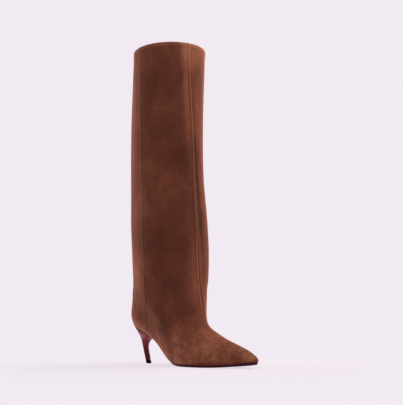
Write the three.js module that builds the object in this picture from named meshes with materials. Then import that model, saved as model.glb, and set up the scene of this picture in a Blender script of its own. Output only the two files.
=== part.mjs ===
// A right knee-high pull-on boot with a pointed toe, a wide straight shaft and a slim curved heel.
// +X points to the toe, +Y to the inner side of the foot and +Z up. The floor is z = 0, and the
// origin is on the floor under the middle of the boot's box. Lengths are in millimetres.
import * as THREE from "three";

const { clamp, degToRad, lerp, smoothstep } = THREE.MathUtils;

// Driving sizes.
const LENGTH = 254; // back of the counter to the tip of the toe
const COLLAR_HEIGHT = 487; // floor to the collar, at the middle of the shaft
const COLLAR_RISE = 3; // how much higher the collar's front is than its back
const SEAT_RISE = 52; // heel seat above the tread, along the upper's lower edge
const COUNTER_HEIGHT = 78; // heel seat to the ankle, up the back
const INSTEP_HEIGHT = 112; // toe's lower edge to the ankle, up the front
const BALL_WIDTH = 76; // across the upper's lower edge at the ball
const SHAFT_WIDTH = 116.8; // side to side, at its widest
const SHAFT_DEPTH = 124.8; // front to back, at its widest
const WALL = 2.2; // suede and lining together
const TOE_SWING = 3; // how far the toe's tip leans towards the inner side
const TOE_SPRING = 6; // toe's tip above the tread
const OUTSOLE = 3.4; // outsole at the tread
const SHANK = 2; // outsole under the arch and the seat
const OUTSOLE_INSET = 0.5; // outsole's edge inside the upper's lower edge, at the tread and seat
const WAIST_INSET = 2.6; // the same, under the arch
const OUTSOLE_BEVEL = 1; // outsole's lower face inside its upper one
const INSOLE = 2.5;
const INSOLE_CLEARANCE = 0.4; // insole's edge to the inside of the upper
const SEAT_LENGTH = 42; // heel's top, from its back edge to its breast
const HEEL_TOP_INSET = 0.6; // heel's top edge inside the outsole's edge
const STEM_WIDTH = 9.2; // heel's stem at its thinnest, side to side
const LIFT_HEIGHT = 5;
const LIFT_WIDTH = 8.2;
const LIFT_LEAN = 0.46; // how far the top lift leans back with its height
const LIFT_SETBACK = 27.4; // back of the counter to the middle of the top lift
const SEAM_HEIGHT = 0.7; // how far the front and back seams stand out of the wall
const SIDE_SEAM_HEIGHT = 0.5; // the same, for the seam down the outer side
const RIDGE_SHOULDER = 0.6; // height of a ridge's shoulders, share of the seam's height
const TOPLINE_DEPTH = 7; // turned-over edge below the collar
const TOPLINE_STEP = 0.35; // how much thicker the turned-over edge is
const GAP = 0.3; // between pieces that touch

// How finely the forms are divided.
const SEAM_COLUMNS = [0.02, 0.05]; // angles beside a seam that hold its ridge, in radians
const BACK_COLUMNS = 11; // spaces from the back seam to the side seam
const FRONT_COLUMNS = 19; // spaces from the side seam to the front seam
const INNER_COLUMNS = 29; // spaces round the inner side
const HEEL_COLUMNS = 14;
const HEEL_ROWS = 15;

// Upper's lower edge in side view: share of LENGTH, share of SEAT_RISE and share of TOE_SPRING.
const EDGE_LINE = [
  { along: 0.0, rise: 1.0, spring: 0 },
  { along: 0.08, rise: 0.955, spring: 0 },
  { along: 0.14, rise: 0.88, spring: 0 },
  { along: 0.21, rise: 0.755, spring: 0 },
  { along: 0.27, rise: 0.615, spring: 0 },
  { along: 0.32, rise: 0.455, spring: 0 },
  { along: 0.36, rise: 0.295, spring: 0 },
  { along: 0.39, rise: 0.16, spring: 0 },
  { along: 0.42, rise: 0.064, spring: 0 },
  { along: 0.45, rise: 0.02, spring: 0 },
  { along: 0.49, rise: 0.003, spring: 0 },
  { along: 0.53, rise: 0, spring: 0 },
  { along: 0.7, rise: 0, spring: 0 },
  { along: 0.78, rise: 0, spring: 0.09 },
  { along: 0.88, rise: 0, spring: 0.42 },
  { along: 1.0, rise: 0, spring: 1 },
];

// Where along a section, from its back to its front, the widths below are given.
const STATIONS = [0.12, 0.35, 0.62, 0.85];

// Sections of the foot, each a loop around it, from the lower edge up to the ankle.
// front and back: share of LENGTH. up: share of INSTEP_HEIGHT in front. behind: share of
// COUNTER_HEIGHT at the back. outer and inner: half widths at STATIONS, shares of BALL_WIDTH.
// tip and heel: radius at the front and the back, shares of BALL_WIDTH. follow: how much of the
// lower edge's own curve the loop keeps, where 0 is a flat loop. side: where the outer side's
// seam crosses, from the back to the front.
const FOOT = [
  { front: 1.0, up: 0, back: 0.018, behind: 0, tip: 0.05, heel: 0.27, follow: 1, side: 0.18,
    outer: [0.29, 0.362, 0.502, 0.285], inner: [0.29, 0.265, 0.475, 0.29] },
  { front: 1.002, up: 0.022, back: 0.012, behind: 0.045, tip: 0.055, heel: 0.3, follow: 0.97, side: 0.203,
    outer: [0.335, 0.39, 0.512, 0.288], inner: [0.335, 0.305, 0.49, 0.292] },
  { front: 0.995, up: 0.05, back: 0.0075, behind: 0.1, tip: 0.05, heel: 0.325, follow: 0.92, side: 0.223,
    outer: [0.376, 0.412, 0.516, 0.285], inner: [0.372, 0.345, 0.495, 0.29] },
  { front: 0.975, up: 0.088, back: 0.0045, behind: 0.155, tip: 0.036, heel: 0.355, follow: 0.86, side: 0.242,
    outer: [0.412, 0.43, 0.513, 0.287], inner: [0.398, 0.38, 0.496, 0.29] },
  { front: 0.944, up: 0.136, back: 0.0035, behind: 0.21, tip: 0.024, heel: 0.385, follow: 0.78, side: 0.254,
    outer: [0.432, 0.445, 0.503, 0.29], inner: [0.408, 0.41, 0.49, 0.292] },
  { front: 0.896, up: 0.191, back: 0.0035, behind: 0.27, tip: 0.02, heel: 0.4, follow: 0.68, side: 0.27,
    outer: [0.441, 0.457, 0.492, 0.295], inner: [0.411, 0.432, 0.481, 0.295] },
  { front: 0.842, up: 0.243, back: 0.0055, behind: 0.33, tip: 0.02, heel: 0.405, follow: 0.58, side: 0.282,
    outer: [0.442, 0.467, 0.483, 0.295], inner: [0.409, 0.447, 0.472, 0.294] },
  { front: 0.787, up: 0.297, back: 0.009, behind: 0.39, tip: 0.022, heel: 0.405, follow: 0.48, side: 0.302,
    outer: [0.438, 0.477, 0.477, 0.29], inner: [0.405, 0.459, 0.467, 0.289] },
  { front: 0.723, up: 0.355, back: 0.013, behind: 0.455, tip: 0.026, heel: 0.405, follow: 0.38, side: 0.323,
    outer: [0.43, 0.49, 0.48, 0.29], inner: [0.401, 0.475, 0.472, 0.289] },
  { front: 0.665, up: 0.402, back: 0.018, behind: 0.52, tip: 0.034, heel: 0.405, follow: 0.28, side: 0.349,
    outer: [0.424, 0.504, 0.49, 0.287], inner: [0.4, 0.493, 0.484, 0.286] },
  { front: 0.622, up: 0.464, back: 0.0235, behind: 0.585, tip: 0.05, heel: 0.41, follow: 0.19, side: 0.38,
    outer: [0.421, 0.523, 0.508, 0.294], inner: [0.403, 0.514, 0.502, 0.294] },
  { front: 0.596, up: 0.545, back: 0.029, behind: 0.655, tip: 0.09, heel: 0.425, follow: 0.11, side: 0.415,
    outer: [0.424, 0.547, 0.533, 0.33], inner: [0.411, 0.54, 0.527, 0.332] },
  { front: 0.58, up: 0.645, back: 0.0345, behind: 0.735, tip: 0.17, heel: 0.445, follow: 0.05, side: 0.447,
    outer: [0.434, 0.574, 0.563, 0.37], inner: [0.422, 0.568, 0.558, 0.371] },
  { front: 0.566, up: 0.765, back: 0.039, behind: 0.83, tip: 0.28, heel: 0.47, follow: 0.015, side: 0.469,
    outer: [0.435, 0.599, 0.594, 0.415], inner: [0.431, 0.597, 0.591, 0.415] },
];

// Sections of the shaft, ellipses from the ankle to the collar. height: share of the way from
// the ankle to the collar. middle: share of LENGTH. lean: towards the inner side, share of
// SHAFT_WIDTH. deep and wide: shares of SHAFT_DEPTH and SHAFT_WIDTH. tilt: how much of the
// ankle's slope the section keeps. twist: turn of the seams to the outer side, in degrees. side:
// where the outer side's seam crosses, before the twist.
const SHAFT = [
  { height: 0.0, middle: 0.299, lean: 0, deep: 1.035, wide: 0.88, tilt: 1, twist: 2.1, side: 0.514 },
  { height: 0.06, middle: 0.299, lean: 0, deep: 1.02, wide: 0.93, tilt: 0.8, twist: 2.9, side: 0.541 },
  { height: 0.13, middle: 0.2965, lean: 0.001, deep: 1.01, wide: 0.968, tilt: 0.55, twist: 3.2, side: 0.56 },
  { height: 0.21, middle: 0.291, lean: -0.003, deep: 1.0, wide: 0.98, tilt: 0.3, twist: 2.4, side: 0.564 },
  { height: 0.31, middle: 0.285, lean: -0.007, deep: 0.98, wide: 0.966, tilt: 0.12, twist: 1.6, side: 0.543 },
  { height: 0.42, middle: 0.2765, lean: -0.013, deep: 0.95, wide: 0.945, tilt: 0.03, twist: -1.5, side: 0.523 },
  { height: 0.55, middle: 0.272, lean: -0.0155, deep: 0.938, wide: 0.945, tilt: 0, twist: -1.6, side: 0.52 },
  { height: 0.68, middle: 0.271, lean: -0.013, deep: 0.933, wide: 0.95, tilt: 0, twist: 1.1, side: 0.533 },
  { height: 0.8, middle: 0.2735, lean: -0.006, deep: 0.928, wide: 0.953, tilt: 0, twist: 5.7, side: 0.554 },
  { height: 0.9, middle: 0.276, lean: 0.001, deep: 0.925, wide: 0.953, tilt: 0, twist: 8.4, side: 0.552 },
  { height: 1.0, middle: 0.2785, lean: 0.007, deep: 0.925, wide: 0.953, tilt: 0, twist: 11.2, side: 0.55 },
];

// Sections of the heel, from its top down to the top lift. back and front: shares of
// SEAT_LENGTH from the back of the seat. upBack and upFront: shares of the seat's height above
// the top lift. wide: share of the heel's top width. stem: share of STEM_WIDTH.
const HEEL = [
  { back: 0, front: 1, upBack: 1, upFront: 1, wide: 1, stem: 0 },
  { back: 0.05, front: 0.8, upBack: 0.92, upFront: 0.955, wide: 0.8, stem: 0.06 },
  { back: 0.09, front: 0.62, upBack: 0.82, upFront: 0.9, wide: 0.54, stem: 0.22 },
  { back: 0.12, front: 0.485, upBack: 0.705, upFront: 0.83, wide: 0.28, stem: 0.5 },
  { back: 0.155, front: 0.42, upBack: 0.57, upFront: 0.71, wide: 0.1, stem: 0.84 },
  { back: 0.19, front: 0.4, upBack: 0.455, upFront: 0.57, wide: 0.02, stem: 0.98 },
  { back: 0.245, front: 0.435, upBack: 0.28, upFront: 0.35, wide: 0, stem: 0.97 },
  { back: 0.3, front: 0.5, upBack: 0.13, upFront: 0.165, wide: 0, stem: 0.93 },
];

// A smooth curve through a table's column, by the value of another column.
function through(rows, from, to) {
  const at = rows.map((row) => row[from]);
  const value = rows.map((row) => row[to]);
  return smooth(at, value);
}

function smooth(at, value) {
  const last = at.length - 1;
  const rise = (i) => (value[i + 1] - value[i]) / (at[i + 1] - at[i]);
  const slopes = value.map((_, i) => {
    if (i === 0) return rise(0);
    if (i === last) return rise(last - 1);
    const before = at[i] - at[i - 1];
    const after = at[i + 1] - at[i];
    if (rise(i - 1) * rise(i) <= 0) return 0;
    return (rise(i - 1) * after + rise(i) * before) / (before + after);
  });
  return (x) => {
    let i = 0;
    while (i < last - 1 && x > at[i + 1]) i += 1;
    const step = at[i + 1] - at[i];
    const t = clamp((x - at[i]) / step, 0, 1);
    const a = (1 + 2 * t) * (1 - t) * (1 - t);
    const b = t * (1 - t) * (1 - t);
    const c = t * t * (3 - 2 * t);
    const d = t * t * (t - 1);
    return a * value[i] + b * step * slopes[i] + c * value[i + 1] + d * step * slopes[i + 1];
  };
}

// Height of the upper's lower edge above the floor, at a distance from the back of the counter.
const edgeRise = through(EDGE_LINE, "along", "rise");
const edgeSpring = through(EDGE_LINE, "along", "spring");
const TREAD = OUTSOLE + GAP;
const edgeHeight = (x) =>
  TREAD + SEAT_RISE * edgeRise(x / LENGTH) + TOE_SPRING * edgeSpring(x / LENGTH);

const ANKLE_BACK = edgeHeight(0) + COUNTER_HEIGHT;
const ANKLE_FRONT = edgeHeight(LENGTH) + INSTEP_HEIGHT;
const ANKLE_HEIGHT = (ANKLE_BACK + ANKLE_FRONT) / 2;

// Each level holds what one loop around the boot needs, in millimetres.
function footLevel(row) {
  const back = row.back * LENGTH;
  const front = row.front * LENGTH;
  const span = front - back;
  const widths = (side) => {
    const shares = STATIONS.map((u, i) => (side[i] * BALL_WIDTH) / (2 * Math.sqrt(u * (1 - u))));
    const end = (radius) => Math.sqrt((radius * BALL_WIDTH * span) / 2);
    return [end(row.heel), ...shares, end(row.tip)];
  };
  return {
    back,
    front,
    backHeight: edgeHeight(back) + row.behind * COUNTER_HEIGHT,
    frontHeight: edgeHeight(front) + row.up * INSTEP_HEIGHT,
    follow: row.follow,
    side: row.side,
    lean: 0,
    swing: TOE_SWING * smoothstep(row.front, FOOT.at(-1).front, 1),
    twist: 0,
    outer: widths(row.outer),
    inner: widths(row.inner),
  };
}

const MOUTH_BEGINS = 0.8; // height share from which the sections tilt up to the collar's front
function shaftLevel(row) {
  const middle = row.middle * LENGTH;
  const reach = (row.deep * SHAFT_DEPTH) / 2;
  const height = ANKLE_HEIGHT + row.height * (COLLAR_HEIGHT - ANKLE_HEIGHT);
  const slope = (row.tilt * (ANKLE_BACK - ANKLE_FRONT)) / 2;
  const mouth = (smoothstep(row.height, MOUTH_BEGINS, 1) * COLLAR_RISE) / 2;
  const half = Array(STATIONS.length + 2).fill((row.wide * SHAFT_WIDTH) / 2);
  return {
    back: middle - reach,
    front: middle + reach,
    backHeight: height + slope - mouth,
    frontHeight: height - slope + mouth,
    follow: 0,
    side: row.side,
    lean: row.lean * SHAFT_WIDTH,
    swing: 0,
    twist: degToRad(row.twist),
    outer: half,
    inner: half,
  };
}

const LEVELS = [...FOOT.map(footLevel), ...SHAFT.map(shaftLevel)];
const TOP = LEVELS.length - 1;

// The levels' values at any height between them, each value a smooth curve of its own.
const STEPS = LEVELS.map((_, i) => i);
const field = (pick) => smooth(STEPS, LEVELS.map(pick));
const FIELD_NAMES = ["back", "front", "backHeight", "frontHeight", "follow", "side", "lean", "swing", "twist"];
const fields = Object.fromEntries(FIELD_NAMES.map((name) => [name, field((level) => level[name])]));
const KNOTS = [0, ...STATIONS, 1];
const outerWidths = KNOTS.map((_, i) => field((level) => level.outer[i]));
const innerWidths = KNOTS.map((_, i) => field((level) => level.inner[i]));

// A point of the outside at a level and an angle: 0 is the back seam and PI the front seam,
// and the outer side of the foot comes between them.
function outside(level, angle) {
  const f = Object.fromEntries(Object.entries(fields).map(([name, curve]) => [name, curve(level)]));
  const turned = angle - f.twist;
  const u = (1 - Math.cos(turned)) / 2;
  const side = Math.sin(turned) >= 0 ? outerWidths : innerWidths;
  const half = smooth(KNOTS, side.map((curve) => curve(level)))(u);
  const x = f.back + u * (f.front - f.back);
  const flat = lerp(f.backHeight, f.frontHeight, u);
  const ends = lerp(edgeHeight(f.back), edgeHeight(f.front), u);
  const z = flat + f.follow * (edgeHeight(x) - ends);
  const y = f.lean + f.swing * smoothstep(u, 0.5, 1) - half * Math.sin(turned);
  return new THREE.Vector3(x, y, z);
}

// Steps over which the wall's slopes are read, in levels and in radians.
const LEVEL_STEP = 0.2;
const TURN_STEP = 0.03;

// Direction out of the wall.
function outward(level, angle) {
  const low = Math.max(level - LEVEL_STEP, 0);
  const high = Math.min(level + LEVEL_STEP, TOP);
  const up = outside(high, angle).sub(outside(low, angle));
  const round = outside(level, angle + TURN_STEP).sub(outside(level, angle - TURN_STEP));
  return round.cross(up).normalize();
}

// Direction out of the lower edge, seen from above.
function outwardInPlan(angle) {
  const round = outside(0, angle + TURN_STEP).sub(outside(0, angle - TURN_STEP));
  return new THREE.Vector3(-round.y, round.x, 0).normalize().negate();
}

// Columns around the boot, closer together beside the seams. Each is named by its angle on the
// shaft, where the seams are at 0, PI / 2 and PI.
const SIDE = Math.PI / 2;
function columnsBetween(start, end, spaces) {
  const edge = SEAM_COLUMNS.at(-1);
  const after = SEAM_COLUMNS.map((angle) => start + angle);
  const before = SEAM_COLUMNS.toReversed().map((angle) => end - angle);
  const step = (end - start - 2 * edge) / spaces;
  const plain = Array.from({ length: spaces - 1 }, (_, i) => start + edge + (i + 1) * step);
  return [start, ...after, ...plain, ...before];
}
const COLUMNS = [
  ...columnsBetween(0, SIDE, BACK_COLUMNS),
  ...columnsBetween(SIDE, Math.PI, FRONT_COLUMNS),
  ...columnsBetween(Math.PI, 2 * Math.PI, INNER_COLUMNS),
];
const FRONT = COLUMNS.indexOf(Math.PI);

// A column's angle at a level. On the foot the outer columns lean back with the side seam.
function angleAt(column, level) {
  if (column > Math.PI) return column;
  const seam = Math.acos(1 - 2 * fields.side(level));
  return smooth([0, SIDE, Math.PI], [0, seam, Math.PI])(column);
}

// Rows up the boot: every section, one between each two on the lower shaft, and two below the
// collar for its turned-over edge.
const TOPLINE_LEVEL = TOP - TOPLINE_DEPTH / (LEVELS[TOP].backHeight - LEVELS[TOP - 1].backHeight);
const STEP_LEVELS = 0.02; // half the height of the step below the turned-over edge, in levels
const CALF_ROWS = SHAFT.slice(0, 6).map((_, i) => FOOT.length + i + 0.5);
const OUTER_ROWS = [...STEPS.slice(0, -1), ...CALF_ROWS].sort((a, b) => a - b);
OUTER_ROWS.push(TOPLINE_LEVEL - STEP_LEVELS, TOPLINE_LEVEL + STEP_LEVELS, TOP);
const INNER_ROWS = [...STEPS];

// How far a seam's ridge and the turned-over edge stand out at a point of the outside.
const SEAMS = [
  { at: 0, height: SEAM_HEIGHT },
  { at: SIDE, height: SIDE_SEAM_HEIGHT },
  { at: Math.PI, height: SEAM_HEIGHT },
  { at: 2 * Math.PI, height: SEAM_HEIGHT },
];
function relief(level, column) {
  const [middle, edge] = SEAM_COLUMNS;
  let ridge = 0;
  for (const seam of SEAMS) {
    const away = Math.abs(column - seam.at);
    if (away < middle / 2) ridge = seam.height;
    else if (away < (middle + edge) / 2) ridge = RIDGE_SHOULDER * seam.height;
  }
  return ridge + (level > TOPLINE_LEVEL ? TOPLINE_STEP : 0);
}

function wallPoint(level, column, depth) {
  const angle = angleAt(column, level);
  const away = level === 0 ? outwardInPlan(angle) : outward(level, angle);
  return outside(level, angle).addScaledVector(away, -depth);
}

// Triangles across a ring from its back to its front, facing up. The outer and the inner side
// are joined in the order in which they go forwards.
function across(ring, front) {
  const triangles = [];
  const inner = (i) => (ring.length - i) % ring.length;
  const innerCount = ring.length - front;
  let [o, n] = [0, 0];
  while (o < front || n < innerCount) {
    const outerNext = o < front ? ring[o + 1].x : Infinity;
    const innerNext = n < innerCount ? ring[inner(n + 1)].x : Infinity;
    if (o < front && outerNext <= innerNext) {
      if (n < innerCount || o + 1 < front) triangles.push([o, o + 1, inner(n)]);
      o += 1;
    } else {
      triangles.push([o, inner(n + 1), inner(n)]);
      n += 1;
    }
  }
  return triangles.filter((corners) => new Set(corners).size === 3);
}

// A closed surface from rings of points that all have the same count. Each ring is joined to the
// next. The last is joined to the first, or both ends are closed by the triangles in caps.
function closedSurface(rings, caps) {
  const count = rings[0].length;
  const positions = rings.flat().flatMap((point) => point.toArray());
  const index = [];
  const joins = caps ? rings.length - 1 : rings.length;
  for (let r = 0; r < joins; r += 1) {
    const low = r * count;
    const high = ((r + 1) % rings.length) * count;
    for (let i = 0; i < count; i += 1) {
      const j = (i + 1) % count;
      index.push(low + i, low + j, high + j, low + i, high + j, high + i);
    }
  }
  const top = (rings.length - 1) * count;
  for (const [a, b, c] of caps ?? []) index.push(a, c, b, top + a, top + b, top + c);
  const geometry = new THREE.BufferGeometry();
  geometry.setAttribute("position", new THREE.Float32BufferAttribute(positions, 3));
  geometry.setIndex(index);
  return geometry;
}

function upperGeometry() {
  const ring = (level, depth) => COLUMNS.map((column) => wallPoint(level, column, depth(column)));
  const out = OUTER_ROWS.map((level) => ring(level, (column) => -relief(level, column)));
  const inside = INNER_ROWS.map((level) => ring(level, () => WALL));
  return closedSurface([...out, ...inside.toReversed()], null);
}

// Outline of the upper's lower edge, moved inwards, with the same columns as the upper.
function edgeOutline(inset) {
  return COLUMNS.map((column) => {
    const angle = angleAt(column, 0);
    const point = outside(0, angle);
    return point.addScaledVector(outwardInPlan(angle), -inset(point.x));
  });
}
const EDGE_CAPS = across(edgeOutline(() => 0), FRONT);

// Where the waist begins and ends and where the outsole grows to its full thickness, as shares
// of LENGTH over which each change runs.
const WAIST_BEGINS = [0.16, 0.26];
const WAIST_ENDS = [0.4, 0.5];
const OUTSOLE_GROWS = [0.38, 0.54];
const waistShare = (along) => smoothstep(along, ...WAIST_BEGINS) * (1 - smoothstep(along, ...WAIST_ENDS));
const outsoleInset = (x) => lerp(OUTSOLE_INSET, WAIST_INSET, waistShare(x / LENGTH));
const outsoleThickness = (x) => lerp(SHANK, OUTSOLE, smoothstep(x / LENGTH, ...OUTSOLE_GROWS));
const outsoleTop = (x) => edgeHeight(x) - GAP;
const outsoleFloor = (x) => outsoleTop(x) - outsoleThickness(x);

// A plate between two heights that only change along the boot. Its sides lean in by bevel.
function plateGeometry(inset, bevel, low, high) {
  const below = edgeOutline((x) => inset(x) + bevel).map((p) => p.setZ(low(p.x)));
  const above = edgeOutline(inset).map((p) => p.setZ(high(p.x)));
  return closedSurface([below, above], EDGE_CAPS);
}

const outsoleGeometry = () => plateGeometry(outsoleInset, OUTSOLE_BEVEL, outsoleFloor, outsoleTop);

function insoleGeometry() {
  const inset = () => WALL + INSOLE_CLEARANCE;
  return plateGeometry(inset, 0, edgeHeight, (x) => edgeHeight(x) + INSOLE);
}

// One loop of the heel, from its back along the outer side to its front and back again. Its
// half widths and its height are given along it, where 0 is its back and 1 its front.
function heelLoop(back, front, outerHalf, innerHalf, height) {
  const loop = [];
  for (let i = 0; i < 2 * HEEL_COLUMNS; i += 1) {
    const angle = (Math.PI * i) / HEEL_COLUMNS;
    const u = (1 - Math.cos(angle)) / 2;
    const x = back + u * (front - back);
    const y = i <= HEEL_COLUMNS ? -outerHalf(u) : innerHalf(u);
    loop.push(new THREE.Vector3(x, y, height(u)));
  }
  return loop;
}

const LIFT_TOP = LIFT_HEIGHT + GAP;
const oval = (u) => 2 * Math.sqrt(Math.max(u * (1 - u), 0));

// Half width of the heel's top on one side: the sole's edge moved in, up to the breast, whose
// corners are rounder with a lower power.
const BREAST_POWER = 10;
function seatWidths(sign) {
  const rim = edgeOutline((x) => outsoleInset(x) + OUTSOLE_BEVEL + HEEL_TOP_INSET);
  const half = rim.filter((point) => point.y * sign > 0).sort((a, b) => a.x - b.x);
  const width = smooth(half.map((point) => point.x), half.map((point) => Math.abs(point.y)));
  const start = rim[0].x;
  return (u) => {
    const x = start + u * SEAT_LENGTH;
    const near = half[0];
    const round = Math.abs(near.y) * Math.sqrt(Math.max(x - start, 0) / (near.x - start));
    return (x < near.x ? round : width(x)) * Math.cbrt(Math.max(1 - u ** BREAST_POWER, 0));
  };
}

function heelGeometry() {
  const back = edgeOutline((x) => outsoleInset(x) + OUTSOLE_BEVEL + HEEL_TOP_INSET)[0].x;
  const seatAt = (x) => outsoleFloor(x) - GAP;
  const tallBack = seatAt(back) - LIFT_TOP;
  const tallFront = seatAt(back + SEAT_LENGTH) - LIFT_TOP;
  const outer = seatWidths(-1);
  const inner = seatWidths(1);
  const order = HEEL.map((row, i) => ({ ...row, order: i }));
  const columns = ["back", "front", "upBack", "upFront", "wide", "stem"];
  const curves = Object.fromEntries(columns.map((name) => [name, through(order, "order", name)]));
  const loops = [];
  for (let i = 0; i < HEEL_ROWS; i += 1) {
    const at = (i * (HEEL.length - 1)) / (HEEL_ROWS - 1);
    const row = Object.fromEntries(columns.map((name) => [name, curves[name](at)]));
    const [start, end] = [back + row.back * SEAT_LENGTH, back + row.front * SEAT_LENGTH];
    const half = (top) => (u) => row.wide * top(u) + (row.stem * STEM_WIDTH * oval(u)) / 2;
    const seat = (u) => seatAt(start + u * (end - start));
    const low = (u) => LIFT_TOP + lerp(row.upBack * tallBack, row.upFront * tallFront, u);
    loops.push(heelLoop(start, end, half(outer), half(inner), i === 0 ? seat : low));
  }
  return closedSurface([liftLoop(LIFT_TOP), ...loops.toReversed()], HEEL_CAPS);
}

// Outline of the top lift, which leans with the stem.
function liftLoop(height) {
  const middle = LIFT_SETBACK - LIFT_LEAN * height;
  const reach = LIFT_WIDTH / 2;
  const half = (u) => reach * oval(u);
  return heelLoop(middle - reach, middle + reach, half, half, () => height);
}

const HEEL_CAPS = across(liftLoop(0), HEEL_COLUMNS);
const topLiftGeometry = () => closedSurface([liftLoop(0), liftLoop(LIFT_HEIGHT)], HEEL_CAPS);

function piece(name, geometry, color, roughness) {
  const material = new THREE.MeshStandardMaterial({ color, roughness, metalness: 0 });
  const mesh = new THREE.Mesh(geometry, material);
  mesh.name = name;
  return mesh;
}

const boot = new THREE.Group();
boot.add(piece("upper", upperGeometry(), 0x6e3f2c, 0.95));
boot.add(piece("outsole", outsoleGeometry(), 0x3a1524, 0.5));
boot.add(piece("insole", insoleGeometry(), 0xb08a6a, 0.7));
boot.add(piece("heel", heelGeometry(), 0x5a1f30, 0.2));
boot.add(piece("top_lift", topLiftGeometry(), 0x14100f, 0.6));

// The origin goes under the middle of the boot's box.
const box = new THREE.Box3().setFromObject(boot);
const middle = box.getCenter(new THREE.Vector3());
boot.position.set(-middle.x, -middle.y, 0);

export default boot;
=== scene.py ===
"""A right knee-high suede boot on a pale studio floor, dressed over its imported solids."""

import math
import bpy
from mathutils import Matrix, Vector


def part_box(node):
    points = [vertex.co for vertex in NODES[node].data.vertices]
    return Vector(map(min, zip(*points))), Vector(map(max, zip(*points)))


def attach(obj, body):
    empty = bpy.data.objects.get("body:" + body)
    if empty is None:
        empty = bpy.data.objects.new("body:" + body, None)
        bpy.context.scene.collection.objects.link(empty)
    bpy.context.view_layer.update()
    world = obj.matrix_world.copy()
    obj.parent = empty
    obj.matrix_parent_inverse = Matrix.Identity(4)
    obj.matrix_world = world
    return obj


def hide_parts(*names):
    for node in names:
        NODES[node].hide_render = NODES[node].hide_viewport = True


bl_info = {
    "name": "Knee-High Suede Boot",
    "version": (1, 0, 0),
    "blender": (4, 5, 0),
    "location": "3D View > Sidebar > Boot",
    "description": "Dresses a knee-high boot: suede, lining, seams, lacquered heel and studio",
    "category": "Object",
}

import bmesh
import bpy
import numpy as np
from mathutils import Vector
from mathutils.bvhtree import BVHTree

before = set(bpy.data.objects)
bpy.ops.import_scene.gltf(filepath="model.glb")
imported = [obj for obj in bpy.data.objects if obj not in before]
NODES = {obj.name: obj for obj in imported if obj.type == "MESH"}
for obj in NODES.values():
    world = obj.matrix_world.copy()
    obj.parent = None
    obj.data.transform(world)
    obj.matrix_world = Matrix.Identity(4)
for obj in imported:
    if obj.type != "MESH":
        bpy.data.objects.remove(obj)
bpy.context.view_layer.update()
MM = 0.001

# Places on the boot, worked out from the upper's bounds, in metres. The heel's back, the toe's tip
# and the collar bound the upper, and the shaft stands over the back of the foot.
UPPER_LOW, UPPER_HIGH = (Vector(corner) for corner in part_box("upper"))
HEEL_BACK = UPPER_LOW.x
LENGTH = UPPER_HIGH.x - UPPER_LOW.x
COLLAR = UPPER_HIGH.z
SHAFT_X = HEEL_BACK + 0.288 * LENGTH
SHAFT_Y = 0.6 * MM
SHAFT_RADIUS = 0.225 * LENGTH
COLLAR_RISE = 3 * MM  # how much higher the collar's front is than its back

SHARP = math.radians(50)  # a fold this steep parts two faces of the upper's wall
EDGE = math.radians(40)  # a fold this steep is an edge that gets rounded


# Sizes and colours


class BootSizes(bpy.types.PropertyGroup):
    """Sizes of what is added to the solids."""

    edge_softness: bpy.props.FloatProperty(
        name="Edge softness", description="Rounding of the sole's and heel's edges",
        default=0.4 * MM, min=0, unit="LENGTH")
    crease_depth: bpy.props.FloatProperty(
        name="Crease depth", description="Depth of the deepest soft crease in the shaft",
        default=1.6 * MM, min=0, unit="LENGTH")
    groove_depth: bpy.props.FloatProperty(
        name="Seam groove", description="Depth of the groove beside a seam's ridge",
        default=0.35 * MM, min=0, unit="LENGTH")
    sock_overhang: bpy.props.FloatProperty(
        name="Sock overhang", description="How far the insole is pressed into the upper's lining",
        default=0.6 * MM, min=0, unit="LENGTH")
    collar_fold: bpy.props.FloatProperty(
        name="Collar fold", description="Height of the turned-over edge at the collar",
        default=7.0 * MM, min=0, unit="LENGTH")
    stitch_length: bpy.props.FloatProperty(
        name="Stitch length", description="Length of one stitch below the collar",
        default=2.6 * MM, min=0, unit="LENGTH")
    stitch_pitch: bpy.props.FloatProperty(
        name="Stitch pitch", description="Distance from one stitch to the next",
        default=3.5 * MM, min=0.5 * MM, unit="LENGTH")
    thread: bpy.props.FloatProperty(
        name="Thread", description="Thickness of the sewing thread",
        default=0.45 * MM, min=0, unit="LENGTH")
    stitch_drop: bpy.props.FloatProperty(
        name="Stitch place", description="The stitches' height above the turned-over edge's end",
        default=1.4 * MM, unit="LENGTH")


def colour(name, description, default):
    """A colour property, in linear light."""
    return bpy.props.FloatVectorProperty(
        name=name, description=description, default=default, subtype="COLOR", min=0, max=1)


class BootColours(bpy.types.PropertyGroup):
    """Colours of the finishes."""

    suede_dark: colour("Suede, nap down", "Darkest tone of the brushed suede", (0.05, 0.014, 0.009))
    suede_mid: colour("Suede", "Main tone of the suede", (0.118, 0.033, 0.018))
    suede_light: colour("Suede, nap up", "Lightest tone of the brushed suede", (0.22, 0.071, 0.037))
    suede_rim: colour("Suede, rubbed", "The nap where an edge is rubbed pale", (0.36, 0.142, 0.08))
    lining: colour("Lining", "Smooth leather inside the shaft", (0.23, 0.105, 0.066))
    sock: colour("Sock", "Leather of the insole", (0.32, 0.19, 0.125))
    # The two lacquer colours are one lacquer lit and in painted shade, blended down the heel.
    lacquer: colour("Lacquer", "Heel, near the seat", (0.22, 0.035, 0.048))
    lacquer_shaded: colour("Lacquer, low", "Heel, near its tip", (0.08, 0.013, 0.021))
    sole: colour("Sole", "Underside of the outsole", (0.13, 0.02, 0.035))
    sole_edge: colour("Sole edge", "Dyed edge of the outsole", (0.045, 0.009, 0.016))
    lift: colour("Top lift", "Rubber under the heel", (0.004, 0.002, 0.002))
    thread: colour("Thread", "Sewing thread at the collar", (0.05, 0.019, 0.013))
    backdrop: colour("Backdrop", "Pale studio floor and backdrop", (0.888, 0.823, 0.888))


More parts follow.
